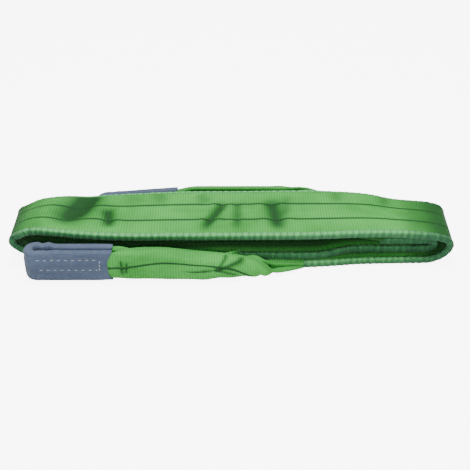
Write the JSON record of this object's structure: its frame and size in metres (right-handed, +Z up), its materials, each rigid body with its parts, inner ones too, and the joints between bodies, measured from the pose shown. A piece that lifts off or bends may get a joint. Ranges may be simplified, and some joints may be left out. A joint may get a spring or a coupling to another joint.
{
  "type": "flat web sling",
  "caption": "Flat web lifting sling of green two-ply webbing, folded into a hank, with a grey-blue sleeved eye at each end.",
  "frame": {"origin": "on the floor under the middle of the folded hank", "axes": "+X along the hank towards its plain folded end, +Y from the front eye towards the rear eye, +Z up"},
  "size_m": [0.399, 0.1086, 0.0468],
  "materials": {
    "webbing": "matte",
    "webbing_edge": "matte",
    "sleeve": "matte",
    "thread": "matte",
    "label": "matte"
  },
  "bodies": {
    "hank": {"outer_ply": "webbing", "inner_ply": "webbing", "front_edge_seam": "webbing_edge", "rear_edge_seam": "webbing_edge", "front_splice_thread": "thread", "rear_splice_thread": "thread", "identity_label": "label", "label_thread": "thread", "front_throat_web": "webbing", "rear_throat_web": "webbing"},
    "front_eye": {"front_eye_web": "webbing", "front_wear_sleeve": "sleeve", "front_sleeve_thread": "thread"},
    "rear_eye": {"rear_eye_web": "webbing", "rear_wear_sleeve": "sleeve", "rear_sleeve_thread": "thread"}
  },
  "joints": [
    {"name": "front_eye_swing", "type": "hinge", "parent": "hank", "child": "front_eye", "pos_m": [-0.022, -0.0424, 0.014], "axis": [0, 0, 1], "range_deg": [0, 70], "deforming": ["front_throat_web"]},
    {"name": "rear_eye_swing", "type": "hinge", "parent": "hank", "child": "rear_eye", "pos_m": [0.028, 0.0424, 0.023], "axis": [0, 0, -1], "range_deg": [0, 60], "deforming": ["rear_throat_web"]}
  ]
}
